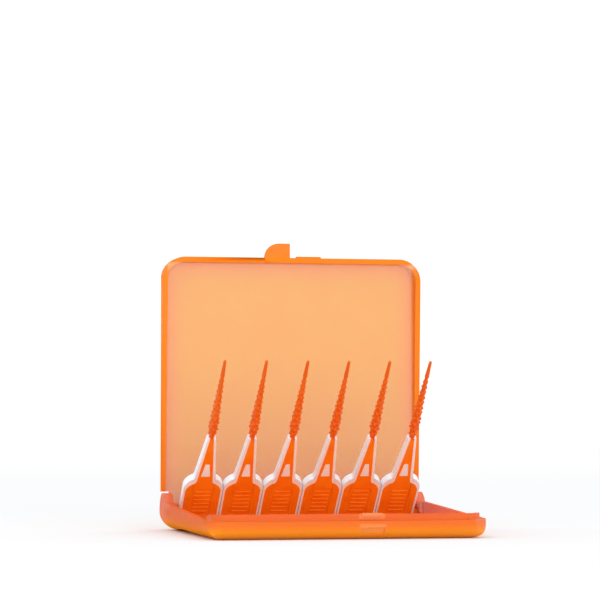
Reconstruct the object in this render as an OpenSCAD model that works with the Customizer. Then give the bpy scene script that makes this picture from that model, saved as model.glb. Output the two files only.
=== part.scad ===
// Travel case of interdental picks, open as it stands on a table.
// Millimetres. X runs along the hinge, -Y to the front of the case, Z up.
// Inside the modules Y is 0 at the hinge axis; the last move puts the origin
// under the middle of the open case.

/* [Case] */
// Width of the case along the hinge
case_w = 68; // [66:1:90]
// Hinge axis to the front face
case_depth = 65.1; // [63:0.5:90]
// Thickness of the closed case
case_h = 9.4; // [8.8:0.2:12]
// Thickness of floor, lid and walls
wall = 1.3; // [1.1:0.05:1.5]
// Radius of the front corners, seen from above
corner_r = 5.8; // [5:0.2:9]
// Radius under the edges of the base
base_fillet = 4.6; // [3.6:0.1:4.7]
// Radius over the edges of the lid
lid_fillet = 1.6; // [1.4:0.1:2.4]
// Height of the parting line at the front
parting_front = 4.3; // [4:0.1:5]
// Height of the parting line at the hinge
parting_rear = 7; // [6.4:0.1:7.4]
// Height of the lip that the lid closes over
lip_z = 5.9; // [5.9:0.1:7]
// Thickness of that lip
lip_t = 0.9; // [0.7:0.05:1.2]
// Length of the lip along each side wall
lip_run = 13; // [10:1:20]
// Rise of the shallow arch under the floor
arch_h = 0.95; // [0.5:0.05:1]
// Length of the arch, front to rear
arch_span = 42; // [30:1:44]
// Hinge axis to the rear end of the arch
arch_back = 1; // [0.8:0.1:3]

/* [Hinge] */
// Radius of the lid's pivot pins
pin_r = 0.8; // [0.6:0.05:0.9]
// Length of each pivot pin
pin_len = 1.2; // [0.8:0.1:1.6]
// Thickness of the cheek at each end of the hinge
cheek_t = 2.2; // [2:0.1:2.4]
// Length of the cheek in front of the hinge axis
cheek_run = 7.5; // [6:0.5:12]
// Thickness of the lid's lug behind each pin
lug_t = 1.2; // [0.8:0.1:1.6]
// Radius of the hub round each pin
hub_r = 1.4; // [1.2:0.05:1.5]
// Thickness of the fence inside the hinge
fence_t = 1.1; // [0.8:0.1:1.3]

/* [Latch] */
// Middle of the thumb tab along the hinge
tab_x = -3.6; // [-12:0.2:-3]
// Width of the thumb tab
tab_w = 6.6; // [5:0.2:9]
// Length of the tab in front of the lid
tab_out = 3.7; // [2.4:0.1:4.5]
// Thickness of the tab
tab_t = 1.1; // [0.8:0.1:1.4]
// Length of the tab's root inside the rim
tab_root = 1.3; // [1:0.05:1.4]
// Middle of the catch along the hinge
catch_x = 5.4; // [4.4:0.2:14]
// Width of the nib on the lip
nib_w = 4.9; // [3:0.1:6]
// Height of the nib
nib_h = 0.8; // [0.6:0.05:0.9]
// How far the nib stands out
nib_out = 0.42; // [0.3:0.02:0.5]
// Width of the bulge outside the lid at the catch
bump_w = 6.3; // [6.1:0.1:8]
// How far the bulge stands out
bump_out = 0.4; // [0.3:0.05:0.6]
// Height of the bulge
bump_h = 1.8; // [1.6:0.1:2.4]
// Width of the thumb recess under the catch
recess_w = 5.8; // [4:0.2:8]
// Depth of the thumb recess
recess_d = 0.4; // [0.2:0.05:0.5]
// Height of the thumb recess, along the curved face
recess_h = 1.9; // [1:0.1:2.4]

/* [Rack] */
// Rack's pivot in front of the hinge axis
pivot_y = 3.2; // [3.2:0.1:4]
// Height of the rack's pivot
pivot_z = 3.6; // [3.5:0.05:3.8]
// Wall of the rack's channel
rack_wall = 0.7; // [0.6:0.05:0.75]
// Length of the channel's back plate
rack_back = 3; // [2:0.1:4]
// Length of the channel's front lip
rack_front = 1.1; // [0.8:0.1:1.3]
// Thickness of the rack's end walls
rack_end = 1.1; // [0.5:0.05:1.1]
// Radius of the rack's stub pins
stub_r = 0.6; // [0.4:0.05:0.7]
// Lean of the picks when the lid is open, from flat
lean = 45; // [30:1:50]

/* [Pick] */
// Gap between one handle and the next
pick_gap = 0.15; // [0.1:0.05:0.6]
// Thickness of the handle
pick_t = 2; // [1.6:0.05:2]
// Rack's pivot to the top of the handle
handle_len = 14.5; // [14:0.1:18]
// Radius of the handle's shoulders
shoulder_r = 3.4; // [2.8:0.1:4]
// Radius of the handle's lower corners
foot_r = 1.6; // [1:0.1:2.2]
// Length of the tapering neck
neck_len = 14; // [12:0.1:16]
// Width of the neck where it leaves the handle
neck_root_w = 6.1; // [4.6:0.1:6.2]
// Width of the neck where the brush starts
neck_tip_w = 2.1; // [1.6:0.05:2.15]
// Thickness of the neck
neck_t = 1.7; // [1.5:0.05:1.9]
// Length of the brush with its tip
brush_len = 25.5; // [22:0.1:27]
// Largest radius over the nubs
brush_r = 1.36; // [1.2:0.02:1.6]
// Radius of the core inside the brush, at its root
rod_root_r = 0.5; // [0.4:0.02:0.52]
// Radius of that core at its end
rod_tip_r = 0.14; // [0.1:0.01:0.16]
// Depth of the soft panel in the handle
panel_t = 0.4; // [0.3:0.02:0.5]
// Hard border left round the soft panel
panel_border = 0.75; // [0.35:0.05:0.8]
// Radius of the soft panel's shoulders
panel_r = 2.7; // [2:0.1:3.2]
// Width of the soft strip at the root of the neck
strip_root_w = 4.7; // [3.4:0.1:4.8]
// Width of the soft strip at the brush
strip_tip_w = 0.8; // [0.7:0.05:1.1]
// Panel's upper edge to the window in the strip
window_up = 2.4; // [1:0.1:3]
// Height of that window
window_h = 4.4; // [3:0.1:6]
// Width of the window at its lower edge
window_root_w = 2.3; // [1.8:0.1:2.6]
// Width of the window at its upper edge
window_tip_w = 1.1; // [1:0.1:1.5]
// Width of the ribbed place on the panel
grip_w = 5.2; // [4:0.1:6.5]
// Length of the ribbed place
grip_len = 10.2; // [6:0.1:11]
// Depth of the ribbed place
grip_d = 0.2; // [0.1:0.02:0.25]
// Width of each rib on it
rib_w = 0.5; // [0.3:0.05:0.7]

/* [Hidden] */
$fn = 64;
over = 0.5;
lap = 0.05;
lid_open = 90;
pick_count = 6;

// clearances
shut_gap = 0.1;
lip_gap = 0.2;
side_gap = 0.1;
turn_gap = 0.3;
pin_gap = 0.05;
fit_gap = 0.05;
bore_end = 0.2;

// case
half_w = case_w / 2;
barrel_r = case_h / 2;
curl_r = barrel_r - wall;
lid_back = barrel_r + turn_gap;
lip_in = wall + lip_gap;
lip_far = lip_in + lip_t;
arch_mid = -arch_back - arch_span / 2;
arch_r = (pow(arch_span / 2, 2) + pow(arch_h, 2)) / (2 * arch_h);
floor_gap = 0.1;
cheek_in = half_w - cheek_t;
turning_x = cheek_in - side_gap;
fence_r = curl_r - turn_gap;
fence_x = turning_x - lug_t - turn_gap;
riser_t = 0.4;

// latch
nib_up = 1.4;
nib_z = parting_front + nib_up - nib_h / 2;
groove_gap = 0.12;
recess_tilt = 36;

// rack and picks
rack_in_r = pick_t / 2 + fit_gap;
rack_r = rack_in_r + rack_wall;
channel_x = turning_x - rack_end;
pick_pitch = 2 * channel_x / pick_count;
pick_w = pick_pitch - pick_gap;
brush_root = handle_len + neck_len;
panel_x = pick_w / 2 - panel_border;
panel_foot = 0.6;
panel_top = handle_len - 2 * panel_border;
window_foot = panel_top + window_up;
rib_count = 6;
rib_pitch = grip_len / (rib_count + 1);
grip_foot = panel_foot + panel_border;

// nubs of the brush
nub_cols = 12;
nub_rows = 13;
root_gap = 0.35;
tip_len = 1.8;
tip_ring_share = 0.15;
nub_step = (brush_len - root_gap - tip_len) / (2 * nub_rows);
// radius over the nubs along the brush, as shares of brush_r
radius_shares = [[0, 0.78], [0.06, 0.96], [0.12, 1], [0.4, 0.8], [0.6, 0.58], [0.85, 0.4], [1, 0.3]];
// radius between the nubs, as a share of the radius over them
valley_share = 0.68;

// brush radii and rings
function over_r(s) = brush_r * lookup(s / brush_len, radius_shares);
function ring_s(i) = i > 2 * nub_rows ? brush_len - tip_len * tip_ring_share : root_gap + i * nub_step;
function is_nub(i, j) = i < 2 * nub_rows && i % 2 == 1 && (j + (i - 1) / 2) % 2 == 0;
function ring_r(i, j) = over_r(ring_s(i)) * (is_nub(i, j) ? 1 : valley_share);
function on_ring(r, s, j) = [r * cos(j * 360 / nub_cols), -s, -r * sin(j * 360 / nub_cols)];

// the closed case from the side, from the front and from above, drawn in from its faces
module side_view(depth) {
    translate([-depth / 2, 0, 0]) rotate([90, 0, 90]) linear_extrude(depth) children();
}
module rounded_side(inset, fillet) {
    translate([-case_depth + fillet, inset]) square([case_depth + case_h, 2 * case_h]);
    translate([-case_depth + inset, fillet]) square([fillet, 2 * case_h]);
    translate([-case_depth + fillet, fillet]) circle(r = fillet - inset);
}
module rounded_front(inset, fillet) {
    translate([-half_w + inset, fillet]) square([case_w - 2 * inset, 2 * case_h]);
    translate([-half_w + fillet, inset]) square([case_w - 2 * fillet, 2 * case_h]);
    for (x = [-1, 1])
        translate([x * (half_w - fillet), fillet]) circle(r = fillet - inset);
}
module rounded_plan(inset) {
    translate([-half_w + inset, -case_depth + corner_r])
        square([case_w - 2 * inset, case_depth + case_h]);
    translate([-half_w + corner_r, -case_depth + inset])
        square([case_w - 2 * corner_r, corner_r]);
    for (x = [-1, 1])
        translate([x * (half_w - corner_r), -case_depth + corner_r]) circle(r = corner_r - inset);
}
module case_block(inset, fillet) {
    intersection() {
        side_view(case_w) rounded_side(inset, fillet);
        translate([0, case_h, 0]) rotate([90, 0, 0])
            linear_extrude(case_depth + 2 * case_h) rounded_front(inset, fillet);
        translate([0, 0, -case_h]) linear_extrude(4 * case_h) rounded_plan(inset);
    }
}

// side view of everything under the parting line, raised by a gap
module under_parting(raise) {
    polygon([
        [-case_depth - over, -2 * case_h],
        [-case_depth - over, parting_front + raise],
        [-case_depth, parting_front + raise],
        [-lid_back, parting_rear + raise],
        [0, parting_rear + raise],
        [0, -2 * case_h]
    ]);
}

module along_x(x, r, len) {
    translate([x, 0, 0]) rotate([0, 90, 0]) cylinder(r = r, h = len, center = true);
}
module at_hinge() {
    translate([0, 0, barrel_r]) children();
}
module at_pivot() {
    translate([0, -pivot_y, pivot_z]) children();
}

// base: tray, barrel cheeks, lip, catch and fence
module tray() {
    intersection() {
        case_block(0, base_fillet);
        side_view(case_w) {
            under_parting(0);
            translate([0, barrel_r]) circle(r = barrel_r);
        }
    }
}
module tray_hollow() {
    difference() {
        intersection() {
            case_block(wall, base_fillet);
            side_view(case_w) translate([-case_depth, 0]) square([case_depth + case_h, 2 * case_h]);
        }
        // cheeks
        for (x = [-1, 1])
            translate([x * half_w, 0, barrel_r])
                cube([2 * cheek_t, 2 * cheek_run, 2 * case_h], center = true);
        // floor over the arch
        translate([0, arch_mid, arch_h - arch_r]) along_x(0, arch_r + wall - floor_gap, case_w);
    }
}
module barrel_hollow() {
    // the lid's tongue turns in here
    translate([0, case_h / 2, 0])
        cube([2 * cheek_in, case_h, 3 * case_h], center = true);
}
module fence() {
    side_view(2 * fence_x) {
        translate([0, barrel_r]) intersection() {
            difference() {
                circle(r = fence_r);
                circle(r = fence_r - fence_t);
            }
            translate([-lap, -barrel_r]) square([barrel_r, barrel_r]);
        }
        translate([-riser_t, 0]) square([riser_t, barrel_r - fence_r + fence_t]);
    }
}
module lip_band(inset) {
    difference() {
        case_block(inset, base_fillet);
        translate([0, 0, -case_h]) linear_extrude(4 * case_h) rounded_plan(lip_far);
    }
}
module lip() {
    lip_back = -case_depth + lip_run;
    intersection() {
        union() {
            lip_band(lip_in);
            intersection() {
                lip_band(wall / 2);
                side_view(case_w) under_parting(0);
            }
        }
        side_view(case_w) polygon([
            [-case_depth, wall / 2],
            [-case_depth, lip_z],
            [-case_depth + corner_r, lip_z],
            [lip_back, parting_front],
            [lip_back, wall / 2]
        ]);
    }
}
module nib() {
    translate([catch_x - nib_w / 2, -case_depth + lip_in - nib_out, nib_z])
        cube([nib_w, nib_out + lip_t / 2, nib_h]);
}
module thumb_recess() {
    translate([catch_x, -case_depth + base_fillet, base_fillet]) rotate([recess_tilt, 0, 0])
        translate([-recess_w / 2, -base_fillet - over, -recess_h / 2])
            cube([recess_w, over + recess_d, recess_h]);
}
module base_shell() {
    color("darkorange", 0.8) placed() difference() {
        union() {
            difference() {
                tray();
                tray_hollow();
                barrel_hollow();
            }
            fence();
            lip();
            nib();
        }
        thumb_recess();
        translate([0, arch_mid, arch_h - arch_r]) along_x(0, arch_r, 2 * case_w);
        for (x = [-1, 1]) {
            at_hinge() along_x(x * cheek_in, pin_r + pin_gap, 2 * (pin_len + bore_end + side_gap));
            at_pivot() along_x(x * cheek_in, stub_r + pin_gap, 2 * (pin_len + bore_end + side_gap));
        }
        // room for the rack to tilt beside the rounded edges of the tray
        at_pivot() along_x(0, rack_r + turn_gap, 2 * cheek_in);
    }
}

// lid, drawn closed and then turned open
module lid_pan() {
    difference() {
        intersection() {
            translate([0, 0, case_h]) mirror([0, 0, 1]) case_block(0, lid_fillet);
            translate([-case_w, -2 * case_depth - lid_back, -case_h])
                cube([2 * case_w, 2 * case_depth, 3 * case_h]);
        }
        translate([0, 0, case_h]) mirror([0, 0, 1]) case_block(wall, lid_fillet);
        side_view(2 * case_w) under_parting(shut_gap);
    }
}
module tongue() {
    translate([-turning_x, -lid_back - over, case_h - wall])
        cube([2 * turning_x, lid_back + over, wall]);
    side_view(2 * turning_x) translate([0, barrel_r]) intersection() {
        difference() {
            circle(r = barrel_r);
            circle(r = curl_r);
        }
        square([barrel_r, barrel_r]);
    }
}
// the lower corners of the base, where the open tongue shows
module round_tongue() {
    intersection() {
        tongue();
        at_hinge() rotate([lid_open, 0, 0]) translate([0, 0, -barrel_r])
            translate([0, 2 * case_h, 0]) rotate([90, 0, 0])
                linear_extrude(4 * case_h) rounded_front(0, base_fillet);
    }
}
module lug(x) {
    translate([x * (turning_x - lug_t / 2), 0, 0]) side_view(lug_t) translate([0, barrel_r]) {
        circle(r = hub_r);
        intersection() {
            circle(r = (barrel_r + curl_r) / 2);
            square([barrel_r, barrel_r]);
        }
    }
    at_hinge() along_x(x * (turning_x - lug_t / 2 + pin_len / 2), pin_r, lug_t + pin_len);
}
module thumb_tab() {
    translate([tab_x - tab_w / 2, -case_depth - tab_out, parting_front + shut_gap])
        linear_extrude(tab_t) {
            translate([tab_out, 0]) square([tab_w - tab_out, tab_out + tab_root]);
            translate([0, tab_out]) square([tab_w, tab_root]);
            translate([tab_out, tab_out]) circle(r = tab_out);
        }
}
module tab_shadow() {
    // keeps the rounded corner from reaching past the tab's root
    translate([tab_x - tab_w / 2 - over, -case_depth + tab_root, 0])
        cube([tab_w + 2 * over, tab_out + over, parting_front + shut_gap + tab_t]);
}
module bump() {
    translate([catch_x - bump_w / 2, -case_depth - bump_out, parting_front + shut_gap + lid_fillet / 4])
        cube([bump_w, bump_out + wall / 2, bump_h]);
}
module groove() {
    translate([catch_x - nib_w / 2 - groove_gap, -case_depth + lip_in - nib_out - groove_gap,
            nib_z - groove_gap])
        cube([nib_w + 2 * groove_gap, nib_out + lip_gap + groove_gap, nib_h + 2 * groove_gap]);
}
module lid_shell() {
    color("orange", 0.7) placed()
        at_hinge() rotate([-lid_open, 0, 0]) translate([0, 0, -barrel_r]) difference() {
            union() {
                lid_pan();
                round_tongue();
                for (x = [-1, 1]) lug(x);
                difference() {
                    thumb_tab();
                    tab_shadow();
                }
                bump();
            }
            groove();
        }
}

// rack and picks, drawn flat about their pivot and then leaned
module leaned() {
    placed() at_pivot() rotate([-lean, 0, 0]) children();
}
module rack_outline() {
    circle(r = rack_r);
    translate([-rack_back, rack_in_r]) square([rack_back, rack_wall]);
    translate([-rack_front, -rack_r]) square([rack_front, rack_wall]);
}
module pick_rack() {
    color("orangered", 0.9) leaned() {
        difference() {
            side_view(2 * turning_x) {
                rack_outline();
                translate([-rack_front, -rack_r]) square([rack_front, 2 * rack_r]);
            }
            side_view(2 * channel_x) {
                circle(r = rack_in_r);
                translate([-handle_len, -rack_in_r]) square([handle_len, 2 * rack_in_r]);
            }
        }
        for (x = [-1, 1]) along_x(x * (turning_x + pin_len / 2), stub_r, pin_len);
    }
}
module at_pick(n) {
    leaned() translate([(n - (pick_count + 1) / 2) * pick_pitch, 0, 0]) children();
}
module slab(low, high) {
    translate([0, 0, low]) linear_extrude(high - low) children();
}
module taper(foot, top, foot_w, top_w) {
    polygon([[-foot_w / 2, -foot], [foot_w / 2, -foot], [top_w / 2, -top], [-top_w / 2, -top]]);
}
module rounded_plate(half, foot, top, low_r, high_r) {
    translate([-half, -top + high_r]) square([2 * half, top - foot - high_r - low_r]);
    translate([-half + high_r, -top]) square([2 * (half - high_r), top - foot]);
    translate([-half + low_r, -foot - low_r - lap]) square([2 * (half - low_r), low_r + lap]);
    for (x = [-1, 1]) {
        translate([x * (half - high_r), -top + high_r]) circle(r = high_r);
        translate([x * (half - low_r), -foot - low_r]) circle(r = low_r);
    }
}
module panel_outline() {
    rounded_plate(panel_x, panel_foot, panel_top, panel_border, panel_r);
    difference() {
        taper(panel_top - panel_r, brush_root + root_gap, strip_root_w, strip_tip_w);
        taper(window_foot, window_foot + window_h, window_root_w, window_tip_w);
    }
}
// the two slots that the soft panels fill, front and back
module panel_slots() {
    for (side = [0, 1]) mirror([0, 0, side]) {
        slab(pick_t / 2 - panel_t, pick_t / 2 + over) panel_outline();
    }
}
module rod(extra) {
    rotate([90, 0, 0]) translate([0, 0, brush_root - over])
        cylinder(r1 = rod_root_r + extra, r2 = rod_tip_r + extra, h = brush_len - tip_len + over);
}
module pick_core(n) {
    color("white") at_pick(n) {
        difference() {
            union() {
                slab(-pick_t / 2, pick_t / 2)
                    rounded_plate(pick_w / 2, 0, handle_len, foot_r, shoulder_r);
                slab(-neck_t / 2, neck_t / 2)
                    taper(handle_len - shoulder_r, brush_root, neck_root_w, neck_tip_w);
                along_x(0, pick_t / 2, pick_w - 2 * foot_r);
            }
            panel_slots();
        }
        rod(0);
    }
}
module nub_sleeve() {
    rings = 2 * nub_rows + 2;
    bore_root = (rod_root_r + fit_gap) / cos(180 / nub_cols);
    bore_tip = (rod_tip_r + fit_gap) / cos(180 / nub_cols);
    bore_len = brush_len - tip_len + fit_gap;
    outer = [
        for (i = [0:rings - 1]) for (j = [0:nub_cols - 1]) on_ring(ring_r(i, j), ring_s(i), j)
    ];
    foot = [for (j = [0:nub_cols - 1]) on_ring(bore_root, root_gap, j)];
    head = [for (j = [0:nub_cols - 1]) on_ring(bore_tip, bore_len, j)];
    tip = [[0, -brush_len, 0], [0, -bore_len, 0]];
    first_foot = rings * nub_cols;
    first_head = first_foot + nub_cols;
    first_tip = first_head + nub_cols;
    function next(j) = (j + 1) % nub_cols;
    function skin(i, j) =
        let (
            a = i * nub_cols + j,
            b = i * nub_cols + next(j),
            c = (i + 1) * nub_cols + j,
            d = (i + 1) * nub_cols + next(j)
        )
        is_nub(i, j) || is_nub(i + 1, next(j)) ? [[a, b, c], [b, d, c]] : [[a, b, d], [a, d, c]];
    faces = [
        for (i = [0:rings - 2]) for (j = [0:nub_cols - 1]) each skin(i, j),
        for (j = [0:nub_cols - 1]) each [
            [(rings - 1) * nub_cols + j, (rings - 1) * nub_cols + next(j), first_tip],
            [first_foot + j, next(j), j],
            [first_foot + j, first_foot + next(j), next(j)],
            [first_head + j, first_foot + next(j), first_foot + j],
            [first_head + j, first_head + next(j), first_foot + next(j)],
            [first_tip + 1, first_head + next(j), first_head + j]
        ]
    ];
    translate([0, -brush_root, 0]) polyhedron(concat(outer, foot, head, tip), faces);
}
module ribbed_panel() {
    // ribs stand in a shallow place on the front of the handle
    difference() {
        slab(-pick_t / 2, -pick_t / 2 + panel_t) panel_outline();
        difference() {
            slab(-pick_t / 2 - over, -pick_t / 2 + grip_d)
                taper(grip_foot, grip_foot + grip_len, grip_w, grip_w);
            for (i = [1:rib_count])
                slab(-pick_t / 2 - 2 * over, pick_t / 2)
                    taper(grip_foot + i * rib_pitch - rib_w / 2, grip_foot + i * rib_pitch + rib_w / 2,
                        grip_w - 2 * rib_w, grip_w - 2 * rib_w);
        }
    }
}
module pick_sleeve(n) {
    color("orangered") at_pick(n) {
        ribbed_panel();
        slab(pick_t / 2 - panel_t, pick_t / 2) panel_outline();
        // collar that joins both strips to the brush
        difference() {
            rotate([90, 0, 0]) translate([0, 0, brush_root])
                cylinder(r = neck_t / 2 + panel_t / 2, h = root_gap + nub_step / 2);
            rod(fit_gap);
        }
        nub_sleeve();
    }
}

// origin under the middle of the open case
module placed() {
    translate([0, (case_depth - barrel_r) / 2, 0]) children();
}

base_shell();
lid_shell();
pick_rack();
pick_core(1);  // pick_core_1
pick_core(2);  // pick_core_2
pick_core(3);  // pick_core_3
pick_core(4);  // pick_core_4
pick_core(5);  // pick_core_5
pick_core(6);  // pick_core_6
pick_sleeve(1);  // pick_sleeve_1
pick_sleeve(2);  // pick_sleeve_2
pick_sleeve(3);  // pick_sleeve_3
pick_sleeve(4);  // pick_sleeve_4
pick_sleeve(5);  // pick_sleeve_5
pick_sleeve(6);  // pick_sleeve_6
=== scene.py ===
import math

import bmesh
import bpy
from mathutils import Matrix, Vector


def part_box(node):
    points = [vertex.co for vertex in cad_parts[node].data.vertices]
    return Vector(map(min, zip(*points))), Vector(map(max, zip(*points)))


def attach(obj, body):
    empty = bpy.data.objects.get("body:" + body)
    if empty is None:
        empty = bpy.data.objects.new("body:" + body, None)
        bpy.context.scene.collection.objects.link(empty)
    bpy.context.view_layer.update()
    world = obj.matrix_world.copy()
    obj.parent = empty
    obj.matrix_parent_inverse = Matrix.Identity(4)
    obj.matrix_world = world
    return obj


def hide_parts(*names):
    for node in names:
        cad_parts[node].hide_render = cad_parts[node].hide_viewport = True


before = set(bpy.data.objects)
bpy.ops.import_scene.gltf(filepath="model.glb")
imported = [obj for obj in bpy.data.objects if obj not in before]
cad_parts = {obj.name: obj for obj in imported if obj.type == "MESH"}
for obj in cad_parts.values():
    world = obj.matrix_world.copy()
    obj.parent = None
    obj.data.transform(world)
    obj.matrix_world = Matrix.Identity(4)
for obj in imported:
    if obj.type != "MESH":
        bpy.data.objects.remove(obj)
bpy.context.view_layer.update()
print("frame loaded:", len(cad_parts), "CAD nodes")

mm = 0.001
# places closer than this count as the same, in the units of the mesh that is worked on
tiny = 1e-4


# camera, as the photograph was taken
view = {
    "place": (-0.13675, -0.61573, 0.02582),
    "tilt": 92.873,
    "turn": -12.108,
    "lens": 153.55,
    "nearest": 0.01,
}


def addCamera():
    data = bpy.data.cameras.new("camera")
    data.lens = view["lens"]
    data.clip_start = view["nearest"]
    camera = bpy.data.objects.new("camera", data)
    camera.location = view["place"]
    camera.rotation_euler = (math.radians(view["tilt"]), 0, math.radians(view["turn"]))
    bpy.context.scene.collection.objects.link(camera)
    bpy.context.scene.camera = camera


# floor with painted shade near the case, white surroundings, a soft lamp from the upper left and a low one in
# front
studio = {
    "floorSize": 6.0,
    # painted shade: near the case the floor is darker, so that its shadow shows more, and cool, to cancel the
    # orange light the case bounces onto it
    "floorNearPaintedShade": (0.866, 0.878, 0.892, 1),
    # painted light: further out the floor is lighter, where the lamps give it less light
    "floorFarPaintedLight": (0.96, 0.96, 0.96, 1),
    # distances from the middle between which the floor goes from its painted shade near the case to its
    # painted light further out
    "floorFade": (0.2, 1.3),
    "floorRoughness": 0.9,
    "surroundLow": 0.6,
    "surroundAbove": 0.52,
    "surroundBehind": 0.46,
    # name, place, width and power of each soft lamp
    "lamps": [("softLamp", (-0.5, -0.25, 0.6), 0.6, 0.5), ("fillLamp", (0.05, -0.95, 0.1), 0.7, 4.2)],
    "lampAim": (0, 0, 0.03),
}


def addSurround():
    world = bpy.data.worlds.new("surround")
    world.use_nodes = True
    tree = world.node_tree
    background = tree.nodes["Background"]
    background.inputs["Color"].default_value = grey(1)
    # a little brighter from above and from behind
    way = tree.nodes.new("ShaderNodeSeparateXYZ")
    tree.links.new(tree.nodes.new("ShaderNodeTexCoord").outputs["Generated"], way.inputs["Vector"])
    level = None
    for axis, gain in (("Z", studio["surroundAbove"]), ("Y", studio["surroundBehind"])):
        part = tree.nodes.new("ShaderNodeMath")
        part.operation = "MAXIMUM"
        part.inputs[1].default_value = 0
        tree.links.new(way.outputs[axis], part.inputs[0])
        total = tree.nodes.new("ShaderNodeMath")
        total.operation = "MULTIPLY_ADD"
        total.inputs[1].default_value = gain
        total.inputs[2].default_value = studio["surroundLow"]
        tree.links.new(part.outputs[0], total.inputs[0])
        if level is not None:
            tree.links.new(level, total.inputs[2])
        level = total.outputs[0]
    tree.links.new(level, background.inputs["Strength"])
    bpy.context.scene.world = world
    bpy.context.scene.view_settings.view_transform = "Standard"


def addFloor():
    deselect()
    bpy.ops.mesh.primitive_plane_add(size=studio["floorSize"], location=(0, 0, 0))
    floor = bpy.context.object
    floor.name = "floor"
    # the floor's colour is painted shade near the case and painted light further out
    nodes = Nodes("floorPaintedShadeAndLight")
    away = nodes.add("ShaderNodeVectorMath", operation="LENGTH")
    nodes.link(nodes.place, away.inputs[0])
    nodes.link(nodes.ramp(nodes.span(away.outputs["Value"], *studio["floorFade"], 0, 1),
                          [(0.0, studio["floorNearPaintedShade"]), (1.0, studio["floorFarPaintedLight"])]),
               nodes.shader.inputs["Base Color"])
    nodes.shader.inputs["Roughness"].default_value = studio["floorRoughness"]
    nodes.shader.inputs["Specular IOR Level"].default_value = 0.0
    floor.data.materials.append(nodes.material)


def addLamps():
    for name, place, size, power in studio["lamps"]:
        lampData = bpy.data.lights.new(name, "AREA")
        lampData.energy = power
        lampData.size = size
        lamp = bpy.data.objects.new(name, lampData)
        lamp.location = place
        aim = Vector(studio["lampAim"]) - lamp.location
        lamp.rotation_euler = aim.to_track_quat("-Z", "Y").to_euler()
        bpy.context.scene.collection.objects.link(lamp)


# small helpers for working by hand
handwork = {
    # edges that turn more than this are rounded, unless they are marked one by one
    "sharpAngle": 35,
    "smoothAngle": 40,
    # share of an edge's length that has to lie along X for it to count as level
    "straight": 0.999,
}


def deselect():
    if bpy.context.object and bpy.context.object.mode != "OBJECT":
        bpy.ops.object.mode_set(mode="OBJECT")
    bpy.ops.object.select_all(action="DESELECT")


def choose(piece):
    deselect()
    piece.select_set(True)
    bpy.context.view_layer.objects.active = piece


def copied(piece):
    copy = piece.copy()
    copy.data = piece.data.copy()
    bpy.context.scene.collection.objects.link(copy)
    return copy


def paint(piece, material):
    piece.data.materials.clear()
    piece.data.materials.append(material)


def addBlock(name, low, high):
    deselect()
    size = [b - a for a, b in zip(low, high)]
    centre = [(a + b) / 2 for a, b in zip(low, high)]
    bpy.ops.mesh.primitive_cube_add(size=1, location=centre, scale=size)
    block = bpy.context.object
    block.name = name
    bpy.ops.object.transform_apply(location=True, rotation=False, scale=True)
    return block


def edit(on=True):
    bpy.ops.object.mode_set(mode="EDIT" if on else "OBJECT")


def selectWhere(kind, test):
    bpy.ops.mesh.select_mode(type=kind)
    bpy.ops.mesh.select_all(action="DESELECT")
    data = bpy.context.object.data
    mesh = bmesh.from_edit_mesh(data)
    parts = {"VERT": mesh.verts, "EDGE": mesh.edges, "FACE": mesh.faces}[kind]
    for part in parts:
        if test(part):
            part.select_set(True)
    mesh.select_flush_mode()
    bmesh.update_edit_mesh(data)


def near(a, b):
    return abs(a - b) < tiny


def liesAlongX(edge):
    way = edge.verts[1].co - edge.verts[0].co
    return abs(way.x) > handwork["straight"] * way.length


def middle(part):
    if isinstance(part, bmesh.types.BMEdge):
        return (part.verts[0].co + part.verts[1].co) / 2
    return part.calc_center_median()


def cutUpright(places):
    # an upright cut through the whole mesh at each place along X
    for place in places:
        bpy.ops.mesh.select_all(action="SELECT")
        bpy.ops.mesh.bisect(plane_co=(place, 0, 0), plane_no=(1, 0, 0))


def pull(x, y, z):
    bpy.ops.mesh.extrude_region_move(TRANSFORM_OT_translate={"value": (x, y, z)})


def markOuterEdges(angle):
    # only outer edges are rounded, so that nothing grows into a clearance
    data = bpy.context.object.data
    mesh = bmesh.from_edit_mesh(data)
    weight = mesh.edges.layers.float.new("bevel_weight_edge")
    for edge in mesh.edges:
        if edge.is_convex and edge.calc_face_angle(0) > math.radians(angle):
            edge[weight] = 1
    bmesh.update_edit_mesh(data)


def roundEdges(piece, width, segments, marked=False):
    modifier = piece.modifiers.new("edges", "BEVEL")
    modifier.width = width
    modifier.segments = segments
    modifier.limit_method = "WEIGHT" if marked else "ANGLE"
    modifier.angle_limit = math.radians(handwork["sharpAngle"])
    bpy.context.view_layer.objects.active = piece
    bpy.ops.object.modifier_apply(modifier=modifier.name)


def smooth(piece):
    choose(piece)
    bpy.ops.object.shade_smooth_by_angle(angle=math.radians(handwork["smoothAngle"]))
    # large flat faces keep their own normals beside the rounded edges
    weigh = piece.modifiers.new("weigh", "WEIGHTED_NORMAL")
    weigh.keep_sharp = True
    bpy.ops.object.modifier_apply(modifier=weigh.name)


def joined(name, pieces):
    deselect()
    for piece in pieces:
        piece.select_set(True)
    bpy.context.view_layer.objects.active = pieces[0]
    bpy.ops.object.join()
    pieces[0].name = name
    return pieces[0]


# colours and material nodes
def srgb(red, green, blue):
    # a colour as it is seen, in the linear values that Blender works with
    def linear(value):
        value = value / 255
        return value / 12.92 if value <= 0.04045 else ((value + 0.055) / 1.055) ** 2.4
    return (linear(red), linear(green), linear(blue), 1)


def grey(level):
    return (level, level, level, 1)


texture = {
    # the part of a noise that is spread over the whole change
    "spread": (0.3, 0.7),
    "detail": 3.0,
    "grainDetail": 2.0,
    "grainDepth": 0.00005,
}


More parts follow.
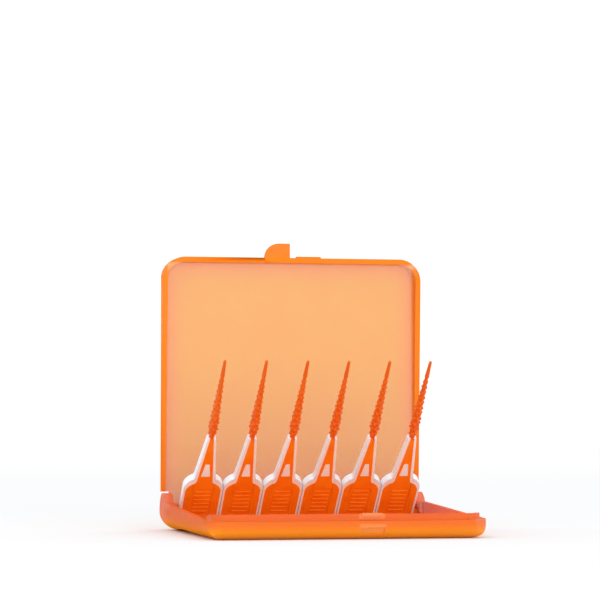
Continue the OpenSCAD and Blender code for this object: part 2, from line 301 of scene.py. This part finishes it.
class Nodes:
    # a short way to add nodes and join them
    def __init__(self, name):
        self.material = bpy.data.materials.new(name)
        self.material.use_nodes = True
        self.tree = self.material.node_tree
        self.shader = self.tree.nodes["Principled BSDF"]
        self.place = self.add("ShaderNodeTexCoord").outputs["Object"]

    def add(self, kind, **settings):
        node = self.tree.nodes.new(kind)
        for key, value in settings.items():
            setattr(node, key, value)
        return node

    def link(self, output, socket):
        self.tree.links.new(output, socket)

    def noise(self, scale, detail):
        node = self.add("ShaderNodeTexNoise")
        node.inputs["Scale"].default_value = scale
        node.inputs["Detail"].default_value = detail
        self.link(self.place, node.inputs["Vector"])
        return node.outputs["Fac"]

    def ramp(self, value, stops):
        node = self.add("ShaderNodeValToRGB")
        band = node.color_ramp
        band.elements[0].position, band.elements[0].color = stops[0]
        band.elements[1].position, band.elements[1].color = stops[-1]
        for position, colour in stops[1:-1]:
            band.elements.new(position).color = colour
        self.link(value, node.inputs["Fac"])
        return node.outputs["Color"]

    def span(self, value, low, high, outLow, outHigh):
        node = self.add("ShaderNodeMapRange")
        node.inputs["From Min"].default_value = low
        node.inputs["From Max"].default_value = high
        node.inputs["To Min"].default_value = outLow
        node.inputs["To Max"].default_value = outHigh
        self.link(value, node.inputs["Value"])
        return node.outputs["Result"]

    def maths(self, operation, first, second=None):
        node = self.add("ShaderNodeMath", operation=operation)
        for socket, value in zip(node.inputs, (first, second)):
            if value is None:
                continue
            if isinstance(value, (int, float)):
                socket.default_value = value
            else:
                self.link(value, socket)
        return node.outputs[0]

    def multiplied(self, first, second):
        # the colour sockets of a Mix node are its inputs 6 and 7 and its output 2
        node = self.add("ShaderNodeMix", data_type="RGBA", blend_type="MULTIPLY")
        node.inputs[0].default_value = 1
        self.link(first, node.inputs[6])
        self.link(second, node.inputs[7])
        return node.outputs[2]

    def mixed(self, factor, first, second):
        node = self.add("ShaderNodeMix", data_type="RGBA")
        self.link(factor, node.inputs[0])
        self.link(first, node.inputs[6])
        node.inputs[7].default_value = second
        return node.outputs[2]

    def along(self, axis):
        node = self.add("ShaderNodeSeparateXYZ")
        self.link(self.place, node.inputs["Vector"])
        return node.outputs[axis]

    def clouds(self, scale, deep, light, detail=texture["detail"]):
        # a colour that drifts between two tones
        low, high = texture["spread"]
        return self.ramp(self.noise(scale, detail), [(low, deep), (high, light)])

    def surface(self, look):
        # an uneven roughness and a fine grain
        rough = self.noise(look["roughnessScale"], texture["detail"])
        self.link(self.span(rough, *texture["spread"], *look["roughness"]), self.shader.inputs["Roughness"])
        bump = self.add("ShaderNodeBump")
        bump.inputs["Strength"].default_value = look["grainStrength"]
        bump.inputs["Distance"].default_value = texture["grainDepth"]
        self.link(self.noise(look["grainScale"], texture["grainDetail"]), bump.inputs["Height"])
        self.link(bump.outputs["Normal"], self.shader.inputs["Normal"])


# soft orange over-moulding, with a deeper tone on the brush
silicone = {
    "light": srgb(252, 138, 20),
    "deep": srgb(246, 122, 10),
    "toneScale": 260,
    "brushTone": (0.84, 0.56, 0.4, 1),
    "brushFrom": 0.0282,
    "brushFade": 0.0004,
    "roughness": (0.4, 0.52),
    "roughnessScale": 900,
    "grainScale": 5200,
    "grainStrength": 0.12,
    "specular": 0.3,
}


def siliconeMaterial():
    nodes = Nodes("orangeSilicone")
    tone = nodes.clouds(silicone["toneScale"], silicone["deep"], silicone["light"])
    # the brush is told by its distance along the leaning pick
    rear, height = (value * mm for value in picksInRack["pivot"])
    lean = math.radians(picksInRack["lean"])
    back = nodes.maths("SUBTRACT", nodes.along("Y"), rear)
    up = nodes.maths("SUBTRACT", nodes.along("Z"), height)
    rise = nodes.maths("SUBTRACT", nodes.maths("MULTIPLY", up, math.cos(lean)),
                       nodes.maths("MULTIPLY", back, math.sin(lean)))
    start = silicone["brushFrom"]
    deeper = nodes.ramp(nodes.span(rise, start, start + silicone["brushFade"], 0, 1),
                        [(0.0, grey(1)), (1.0, silicone["brushTone"])])
    nodes.link(nodes.multiplied(tone, deeper), nodes.shader.inputs["Base Color"])
    nodes.shader.inputs["Specular IOR Level"].default_value = silicone["specular"]
    nodes.surface(silicone)
    return nodes.material


# white core of the picks, painted a little cool to cancel the orange light bounced onto it
hardPlastic = {
    "light": srgb(244, 250, 255),
    "deep": srgb(235, 242, 253),
    "toneScale": 220,
    "roughness": (0.32, 0.44),
    "roughnessScale": 700,
    "grainScale": 4200,
    "grainStrength": 0.1,
}


def hardPlasticMaterial():
    nodes = Nodes("whitePolypropylene")
    tone = nodes.clouds(hardPlastic["toneScale"], hardPlastic["deep"], hardPlastic["light"])
    nodes.link(tone, nodes.shader.inputs["Base Color"])
    nodes.surface(hardPlastic)
    return nodes.material


# finish that tray, lid and rack share
caseFinish = {
    "cloud": 0.94,
    "cloudScale": 90,
    "cloudDetail": 5.0,
    "roughness": (0.34, 0.48),
    "roughnessScale": 500,
    "grainScale": 3600,
    "grainStrength": 0.08,
    "specular": 0.14,
    # from here to here the glare fades out towards a flat angle of view
    "glareFade": (0.55, 0.9),
}


def finishCase(nodes, tone):
    cloud = caseFinish["cloud"]
    clouds = nodes.clouds(caseFinish["cloudScale"], (1, cloud, cloud, 1), grey(1), caseFinish["cloudDetail"])
    nodes.link(nodes.multiplied(tone, clouds), nodes.shader.inputs["Base Color"])
    facing = nodes.add("ShaderNodeLayerWeight").outputs["Facing"]
    nodes.link(nodes.span(facing, *caseFinish["glareFade"], caseFinish["specular"], 0),
               nodes.shader.inputs["Specular IOR Level"])
    nodes.surface(caseFinish)


# translucent lid: clear in its thin panel, full where a wall is seen on its edge
lidPlastic = {
    "rimHeight": 0.0698,
    "rimWidth": 0.0009,
    "rimFade": 0.0006,
    "rimAlpha": 0.97,
    "panelAlpha": 0.6,
    "tabAlpha": 0.9,
    # the tab's own alpha ends between these distances below the rim, which lie just above it
    "tabFade": (-0.0004, -0.0001),
    # colours from the edge inwards, as shares of toneWidth: rim, band and panel
    "toneWidth": 0.01,
    "tones": [(0.0, srgb(252, 134, 10)), (0.1, srgb(252, 134, 10)),
              (0.15, srgb(252, 162, 52)), (0.6, srgb(242, 170, 20))],
    # painted shade: a little darker towards the hinge, where the lid is seen behind the picks
    "footPaintedShade": (0.9, 0.83, 0.78, 1),
    "footShadeFade": (0.008, 0.045),
}


def lidMaterial():
    nodes = Nodes("lidPlastic")
    z = nodes.along("Z")
    low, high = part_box("lid_shell")
    half = (high.x - low.x) / 2
    fromSide = nodes.maths("SUBTRACT", half, nodes.maths("ABSOLUTE", nodes.along("X")))
    fromTop = nodes.maths("SUBTRACT", lidPlastic["rimHeight"], z)
    edge = nodes.maths("MINIMUM", fromSide, fromTop)
    rim = lidPlastic["rimWidth"]
    panel = nodes.span(edge, rim, rim + lidPlastic["rimFade"],
                       lidPlastic["rimAlpha"], lidPlastic["panelAlpha"])
    tab = nodes.span(fromTop, *lidPlastic["tabFade"], lidPlastic["tabAlpha"], 1)
    nodes.link(nodes.maths("MULTIPLY", panel, tab), nodes.shader.inputs["Alpha"])
    tone = nodes.ramp(nodes.span(edge, 0, lidPlastic["toneWidth"], 0, 1), lidPlastic["tones"])
    # painted shade, darker towards the hinge
    foot = nodes.ramp(nodes.span(z, *lidPlastic["footShadeFade"], 0, 1),
                      [(0.0, lidPlastic["footPaintedShade"]), (1.0, grey(1))])
    finishCase(nodes, nodes.multiplied(tone, foot))
    return nodes.material


# translucent tray and rack
basePlastic = {
    # colours from the table up, as shares of toneHeight: the tray's orange with painted light in it, paler
    # towards the top where the light falls, and brighter at the lowest stops to make up for the shade on the
    # downward-facing lower rounding
    "toneHeight": 0.0065,
    "tones": [(0.0, srgb(255, 156, 30)), (0.25, srgb(255, 156, 30)),
              (0.5, srgb(250, 126, 44)), (1.0, srgb(240, 112, 58))],
    # walls and lip are thinner than the floor and the barrel
    "alpha": (0.88, 0.74),
    "alphaFade": (0.002, 0.0045),
    # painted light: the thin places at the catch let more light through, painted in as a lighter colour
    "catchPaintedLight": srgb(252, 168, 104),
    "catchShare": 0.7,
    "catchMiddle": 0.0054,
    "catchHalf": 0.0029,
    "catchSideFade": 0.0004,
    "catchFront": -0.0325,
    "catchRearFade": 0.0002,
    # strength of the catch's painted light, at shares of toneHeight: recess, gap and nib
    "catchBands": [(0.0, 0), (0.2, 0), (0.26, 0.6), (0.52, 0.8), (0.58, 0), (0.7, 0), (0.76, 1), (1.0, 1)],
}


def baseMaterial():
    nodes = Nodes("basePlastic")
    z = nodes.along("Z")
    height = nodes.span(z, 0, basePlastic["toneHeight"], 0, 1)
    # painted light: paler at the top, and brighter low down where the lower rounding is in shade
    tone = nodes.ramp(height, basePlastic["tones"])
    aside = nodes.maths("ABSOLUTE", nodes.maths("SUBTRACT", nodes.along("X"), basePlastic["catchMiddle"]))
    half = basePlastic["catchHalf"]
    front = basePlastic["catchFront"]
    catch = nodes.maths(
        "MULTIPLY",
        nodes.span(aside, half, half + basePlastic["catchSideFade"], basePlastic["catchShare"], 0),
        nodes.span(nodes.along("Y"), front, front + basePlastic["catchRearFade"], 1, 0))
    bands = nodes.ramp(height, [(share, grey(level)) for share, level in basePlastic["catchBands"]])
    # painted light at the catch's recess and nib
    tone = nodes.mixed(nodes.maths("MULTIPLY", catch, bands), tone, basePlastic["catchPaintedLight"])
    nodes.link(nodes.span(z, *basePlastic["alphaFade"], *basePlastic["alpha"]), nodes.shader.inputs["Alpha"])
    finishCase(nodes, tone)
    return nodes.material


# case pieces: the CAD forms with their sharp edges rounded as a mould leaves them
caseEdges = {
    "merge": 0.00001,
    "width": 0.00014,
    "segments": 3,
    "angle": 32,
}


# thumb tab and bulge on the lid's free edge
lidEdge = {
    "tabFoot": 0.0682,
    "tabLeft": -0.0069,
    "tabRight": -0.0003,
    "tabReach": 0.001,
    "tabShift": -0.0006,
    "bulge": (0.00225, 0.00855),
    "bulgeFrom": 0.0665,
    "bulgeShift": -0.0012,
}


def mergeDoubles():
    bpy.ops.mesh.select_all(action="SELECT")
    bpy.ops.mesh.remove_doubles(threshold=caseEdges["merge"])


def tidyLidEdge():
    # the tab gets a straight right side; tab and bulge go a little left, as photographed
    foot, left, right = lidEdge["tabFoot"], lidEdge["tabLeft"], lidEdge["tabRight"]
    selectWhere("VERT", lambda v: v.co.z > foot and right < v.co.x < right + lidEdge["tabReach"])
    bpy.ops.transform.resize(value=(0, 1, 1), center_override=(right, 0, 0))
    mergeDoubles()
    bpy.ops.mesh.dissolve_degenerate(threshold=caseEdges["merge"])
    selectWhere("VERT", lambda v: v.co.z > foot and left - tiny < v.co.x < right + tiny)
    bpy.ops.transform.translate(value=(lidEdge["tabShift"], 0, 0))
    selectWhere("VERT", lambda v: v.co.z > lidEdge["bulgeFrom"]
                and any(near(v.co.x, x) for x in lidEdge["bulge"]))
    bpy.ops.transform.translate(value=(lidEdge["bulgeShift"], 0, 0))


def softened(node, name, body, material):
    piece = bpy.data.objects.new(name, bpy.data.objects[node].data.copy())
    bpy.context.scene.collection.objects.link(piece)
    choose(piece)
    edit()
    mergeDoubles()
    if node == "lid_shell":
        tidyLidEdge()
    bpy.ops.mesh.select_all(action="SELECT")
    bpy.ops.mesh.normals_make_consistent(inside=False)
    markOuterEdges(caseEdges["angle"])
    edit(False)
    roundEdges(piece, caseEdges["width"], caseEdges["segments"], marked=True)
    smooth(piece)
    paint(piece, material)
    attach(piece, body)
    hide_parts(node)


# one pick, modelled upright in millimetres: Z runs up from its pivot, -Y is its front
pickShape = {
    "half": 5.025,
    "depth": 2.0,
    "foot": -1.0,
    "footRound": 0.92,
    "footSteps": 6,
    "top": 14.5,
    "shoulderDrop": 1.1,
    "shoulder": 2.3,
    "corner": 1.5,
    "neckHalf": 2.66,
    "neckTop": 28.5,
    "neckTopWidth": 2.1,
    "neckDepth": 1.7,
    "curve": 1.1,
    "pocketHalf": 3.0,
    "pocket": (0.95, 11.5),
    "pocketDepth": 0.4,
    "edge": 0.2,
    "edgeSteps": 3,
    "rodRadius": (0.45, 0.2),
    "rodSides": 16,
    "rodTop": 52.5,
    "rodOverlap": 1,
}

# how many short sides a round place in an outline has
outlineSteps = {
    "shoulder": 10,
    "curve": 5,
    "corner": 6,
    "window": 3,
    "place": 6,
}


def makePlate(name, half, foot, top):
    # a flat sheet in the XZ plane, whose outline is worked on before it gets its thickness
    deselect()
    bpy.ops.mesh.primitive_plane_add(size=1, location=(0, 0, (foot + top) / 2), rotation=(math.pi / 2, 0, 0))
    plate = bpy.context.object
    plate.name = name
    plate.scale = (2 * half, top - foot, 1)
    bpy.ops.object.transform_apply(location=True, rotation=True, scale=True)
    return plate


def growStrip(top, stages):
    # pulls the chosen part of the upper edge up through each height, to its half width there
    mesh = bmesh.from_edit_mesh(bpy.context.object.data)
    half = max(abs(v.co.x) for v in mesh.verts if v.select)
    height = top
    for nextHeight, nextHalf in stages:
        pull(0, 0, nextHeight - height)
        bpy.ops.transform.resize(value=(nextHalf / half, 1, 1), center_override=(0, 0, 0))
        height = nextHeight
        half = nextHalf


def startOutline(name, shape, stripHalf, stages):
    # a plate with sloping shoulders, whose middle grows up into a strip
    half, top = shape["half"], shape["top"]
    plate = makePlate(name, half, shape["foot"], top)
    edit()
    cutUpright((-stripHalf, stripHalf))
    selectWhere("VERT", lambda v: near(abs(v.co.x), half) and near(v.co.z, top))
    bpy.ops.transform.translate(value=(0, 0, -shape["shoulderDrop"]))
    selectWhere("EDGE", lambda e: near(middle(e).z, top) and abs(middle(e).x) < stripHalf - tiny)
    growStrip(top, stages)
    return plate


def roundCorners(test, width, steps):
    selectWhere("VERT", test)
    bpy.ops.mesh.bevel(offset=width, segments=steps, affect="VERTICES")


def roundOutline(shape, stripHalf):
    # round shoulders, a small curve into the strip, round lower corners
    half, foot, top = shape["half"], shape["foot"], shape["top"]
    shoulder = top - shape["shoulderDrop"]
    roundCorners(lambda v: near(abs(v.co.x), half) and near(v.co.z, shoulder),
                 shape["shoulder"], outlineSteps["shoulder"])
    roundCorners(lambda v: near(abs(v.co.x), stripHalf) and near(v.co.z, top),
                 shape["curve"], outlineSteps["curve"])
    roundCorners(lambda v: near(abs(v.co.x), half) and near(v.co.z, foot),
                 shape["corner"], outlineSteps["corner"])


def thicken(depth):
    bpy.ops.mesh.select_all(action="SELECT")
    bpy.ops.transform.translate(value=(0, depth / 2, 0))
    pull(0, -depth, 0)
    bpy.ops.mesh.select_all(action="SELECT")
    bpy.ops.mesh.normals_make_consistent(inside=False)


# block that cuts the pocket into the core and the shallow place into the front panel
placeCutter = {
    "depth": 1.0,
    "corner": 0.9,
}


def cutPlate(piece, half, heights, floor):
    # cuts a rounded place into the front of a piece, down to y = floor
    foot, top = heights
    depth = placeCutter["depth"]
    cutter = makePlate("cutter", half, foot, top)
    edit()
    roundCorners(lambda v: True, placeCutter["corner"], outlineSteps["place"])
    thicken(depth)
    bpy.ops.transform.translate(value=(0, floor - depth / 2, 0))
    edit(False)
    choose(piece)
    cut = piece.modifiers.new("place", "BOOLEAN")
    cut.operation = "DIFFERENCE"
    cut.solver = "EXACT"
    cut.object = cutter
    bpy.ops.object.modifier_apply(modifier=cut.name)
    bpy.data.objects.remove(cutter)


def addRod():
    # thin rod inside the brush
    footRadius, tipRadius = pickShape["rodRadius"]
    foot = pickShape["neckTop"] - pickShape["rodOverlap"]
    top = pickShape["rodTop"]
    deselect()
    bpy.ops.mesh.primitive_cone_add(vertices=pickShape["rodSides"], radius1=footRadius, radius2=tipRadius,
                                    depth=top - foot, location=(0, 0, (top + foot) / 2))
    rod = bpy.context.object
    bpy.ops.object.transform_apply(location=True)
    return rod


def modelCore():
    shape = pickShape
    core = startOutline("pickCore", shape, shape["neckHalf"], [(shape["neckTop"], shape["neckTopWidth"] / 2)])
    roundOutline(shape, shape["neckHalf"])
    thicken(shape["depth"])
    # the neck is a little thinner than the handle
    selectWhere("VERT", lambda v: v.co.z > shape["top"] + shape["curve"])
    bpy.ops.transform.resize(value=(1, shape["neckDepth"] / shape["depth"], 1), center_override=(0, 0, 0))
    # round foot along the lower edge
    selectWhere("EDGE", lambda e: near(middle(e).z, shape["foot"]) and liesAlongX(e))
    bpy.ops.mesh.bevel(offset=shape["footRound"], segments=shape["footSteps"], affect="EDGES")
    edit(False)
    roundEdges(core, shape["edge"], shape["edgeSteps"])
    # pocket behind the ribbed place, hidden under the front panel
    cutPlate(core, shape["pocketHalf"], shape["pocket"], shape["pocketDepth"] - shape["depth"] / 2)
    core = joined("pickCore", [core, addRod()])
    smooth(core)
    return core


# soft panel on each face of the pick and the strip up the neck
panelShape = {
    "half": 4.5,
    "foot": 0.6,
    "top": 13.0,
    "shoulderDrop": 0.9,
    "shoulder": 2.1,
    "corner": 0.75,
    "curve": 0.7,
    "stripFoot": 2.07,
    "strip": [(15.4, 1.81), (19.8, 1.35), (28.7, 0.42)],
    "window": (15.4, 19.8),
    "windowHalf": (1.15, 0.55),
    "windowCorner": 0.18,
    "back": 0.62,
    "proud": 1.06,
    "edge": 0.1,
    "edgeSteps": 2,
    # shallow rounded place on the front, and its plain ribs
    "placeHalf": 2.6,
    "place": (1.35, 11.1),
    "placeDepth": 0.22,
    "ribs": 6,
    "ribWidth": 0.55,
    "ribEdge": 0.14,
    "ribEdgeSteps": 3,
    # a rib's front stands back from the panel's, and its back reaches into the place's floor
    "ribBack": 0.01,
    "ribSunk": 0.06,
}


def cutWindow():
    low, high = panelShape["window"]
    lowHalf, highHalf = panelShape["windowHalf"]
    for side in (-1, 1):
        selectWhere("FACE", lambda f: low + tiny < middle(f).z < high - tiny)
        slope = side * (lowHalf - highHalf) / (high - low)
        bpy.ops.mesh.bisect(plane_co=(side * lowHalf, 0, low), plane_no=(1, 0, slope))
    selectWhere("FACE", lambda f: low < middle(f).z < high and abs(middle(f).x) < highHalf / 2)
    bpy.ops.mesh.delete(type="FACE")
    roundCorners(lambda v: low - tiny < v.co.z < high + tiny and abs(v.co.x) < lowHalf + tiny,
                 panelShape["windowCorner"], outlineSteps["window"])


def makeRibs(floor):
    shape = panelShape
    foot, top = shape["place"]
    pitch = (top - foot) / (shape["ribs"] + 1)
    half = shape["placeHalf"] - shape["ribWidth"]
    ribs = []
    for index in range(1, shape["ribs"] + 1):
        height = foot + index * pitch
        rib = addBlock("rib", (-half, -shape["proud"] + shape["ribBack"], height - shape["ribWidth"] / 2),
                       (half, floor + shape["ribSunk"], height + shape["ribWidth"] / 2))
        roundEdges(rib, shape["ribEdge"], shape["ribEdgeSteps"])
        ribs.append(rib)
    return ribs


def modelPanel(name, ribbed):
    shape = panelShape
    panel = startOutline(name, shape, shape["stripFoot"], shape["strip"])
    cutWindow()
    roundOutline(shape, shape["stripFoot"])
    thicken(shape["proud"] - shape["back"])
    bpy.ops.transform.translate(value=(0, -(shape["proud"] + shape["back"]) / 2, 0))
    edit(False)
    floor = shape["placeDepth"] - shape["proud"]
    if ribbed:
        cutPlate(panel, shape["placeHalf"], shape["place"], floor)
    roundEdges(panel, shape["edge"], shape["edgeSteps"])
    if ribbed:
        panel = joined(name, [panel] + makeRibs(floor))
    return panel


# brush: a slim cone with staggered soft nubs
brushShape = {
    "foot": 28.45,
    "length": 26.1,
    # distance from the foot and radius over the nubs
    "profile": [(0, 1.0), (1.7, 1.12), (3.4, 1.38), (5.2, 1.36), (7.0, 1.27), (8.8, 1.18), (10.5, 1.1),
                (12.2, 1.02), (14.0, 0.94), (15.8, 0.86), (17.5, 0.79), (19.2, 0.69), (21.0, 0.58),
                (23.5, 0.46), (26.1, 0.38)],
    "sides": 24,
    "steps": 34,
    # radius between the nubs and on the smooth tip, as shares of the radius over them
    "valley": 0.68,
    "smoothShare": 0.95,
    "smoothFrom": 20.5,
    "tipRound": 0.35,
    "tipAngles": (0.5, 1.0, 1.35),
    "rows": 12,
    "around": 6,
    "firstRow": 1.6,
    "rowPitch": 1.757,
    "widestRow": 2,
    # width and height of a nub in the widest row, and its depth as a share of the radius
    "nub": (0.46, 0.56),
    "nubDeep": 0.5,
    "nubSides": 12,
    "nubRings": 8,
    # share of a nub's height that doesn't shrink towards the tip
    "nubKeeps": 0.7,
    "voxel": 0.07,
    "soften": 0.4,
}


def overRadius(distance):
    stops = brushShape["profile"]
    for (a, low), (b, high) in zip(stops, stops[1:]):
        if distance <= b:
            return low + (high - low) * (distance - a) / (b - a)
    return stops[-1][1]


def coneStops():
    # distance and radius of each step of the cone, with its round tip
    shape = brushShape
    body = shape["length"] - shape["tipRound"]
    stops = []
    for step in range(1, shape["steps"] + 1):
        distance = body * step / shape["steps"]
        share = shape["valley"] if distance < shape["smoothFrom"] else shape["smoothShare"]
        stops.append((distance, overRadius(distance) * share))
    tip = stops[-1][1]
    return stops + [(body + shape["tipRound"] * math.sin(a), tip * math.cos(a)) for a in shape["tipAngles"]]


def modelCone():
    shape = brushShape
    start = shape["foot"]
    radius = overRadius(0) * shape["valley"]
    deselect()
    bpy.ops.mesh.primitive_circle_add(vertices=shape["sides"], radius=radius, fill_type="NGON",
                                      location=(0, 0, start))
    cone = bpy.context.object
    cone.name = "brush"
    bpy.ops.object.transform_apply(location=True)
    edit()
    bpy.ops.mesh.select_all(action="SELECT")
    before = 0
    for distance, wanted in coneStops():
        pull(0, 0, distance - before)
        bpy.ops.transform.resize(value=(wanted / radius, wanted / radius, 1),
                                 center_override=(0, 0, start + distance))
        radius = wanted
        before = distance
    bpy.ops.mesh.select_all(action="SELECT")
    bpy.ops.mesh.normals_make_consistent(inside=False)
    edit(False)
    return cone


def makeNubs():
    shape = brushShape
    bpy.ops.mesh.primitive_uv_sphere_add(segments=shape["nubSides"], ring_count=shape["nubRings"], radius=1)
    nub = bpy.context.object
    nubs = []
    wide, tall = shape["nub"]
    for row in range(shape["rows"]):
        distance = shape["firstRow"] + row * shape["rowPitch"]
        over = overRadius(distance)
        size = over / overRadius(shape["firstRow"] + shape["widestRow"] * shape["rowPitch"])
        deep = shape["nubDeep"] * over
        tallness = shape["nubKeeps"] + (1 - shape["nubKeeps"]) * size
        for turn in range(shape["around"]):
            # every other row is turned by half a step
            angle = 2 * math.pi * (turn + 0.5 * (row % 2)) / shape["around"]
            copy = copied(nub)
            copy.matrix_world = (Matrix.Translation((0, 0, shape["foot"] + distance))
                                 @ Matrix.Rotation(angle, 4, "Z")
                                 @ Matrix.Translation((over - deep, 0, 0))
                                 @ Matrix.Diagonal((deep, wide * size, tall * tallness, 1)))
            nubs.append(copy)
    bpy.data.objects.remove(nub)
    return nubs


def modelBrush():
    cone = modelCone()
    brush = joined("brush", [cone] + makeNubs())
    remesh = brush.modifiers.new("fuse", "REMESH")
    remesh.mode = "VOXEL"
    remesh.voxel_size = brushShape["voxel"]
    bpy.ops.object.modifier_apply(modifier=remesh.name)
    soften = brush.modifiers.new("soften", "SMOOTH")
    soften.factor = brushShape["soften"]
    soften.iterations = 1
    bpy.ops.object.modifier_apply(modifier=soften.name)
    return brush


# the six picks side by side, in millimetres
picksInRack = {
    "count": 6,
    "pitch": 10.2,
    # place of the pivot along Y, and its height
    "pivot": (27.0, 3.6),
    "lean": 45,
}


def placePick(piece, name, index):
    copy = copied(piece)
    copy.name = name
    x = (index - (picksInRack["count"] + 1) / 2) * picksInRack["pitch"]
    y, z = picksInRack["pivot"]
    copy.data.transform(Matrix.Translation((x * mm, y * mm, z * mm))
                        @ Matrix.Rotation(math.radians(picksInRack["lean"]), 4, "X")
                        @ Matrix.Diagonal((mm, mm, mm, 1)))
    return copy


def makePicks():
    white = hardPlasticMaterial()
    orange = siliconeMaterial()
    core = modelCore()
    paint(core, white)
    print("core modelled")
    front = modelPanel("frontPanel", True)
    back = modelPanel("backPanel", False)
    back.data.transform(Matrix.Rotation(math.pi, 4, "Z"))
    sleeve = joined("pickSleeve", [front, back, modelBrush()])
    paint(sleeve, orange)
    smooth(sleeve)
    print("sleeve modelled")
    for index in range(1, picksInRack["count"] + 1):
        body = "pick_%d" % index
        newCore = placePick(core, "pickCore_%d" % index, index)
        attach(newCore, body)
        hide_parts("pick_core_%d" % index)
        newSleeve = placePick(sleeve, "pickSleeve_%d" % index, index)
        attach(newSleeve, body)
        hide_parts("pick_sleeve_%d" % index)
    bpy.data.objects.remove(core)
    bpy.data.objects.remove(sleeve)
    print("picks made")


def makeCase():
    base = baseMaterial()
    softened("base_shell", "baseTray", "base", base)
    softened("lid_shell", "lidCover", "lid", lidMaterial())
    softened("pick_rack", "rackChannel", "rack", base)
    print("case made")


addCamera()
addSurround()
addFloor()
addLamps()
print("studio set")
makePicks()
makeCase()
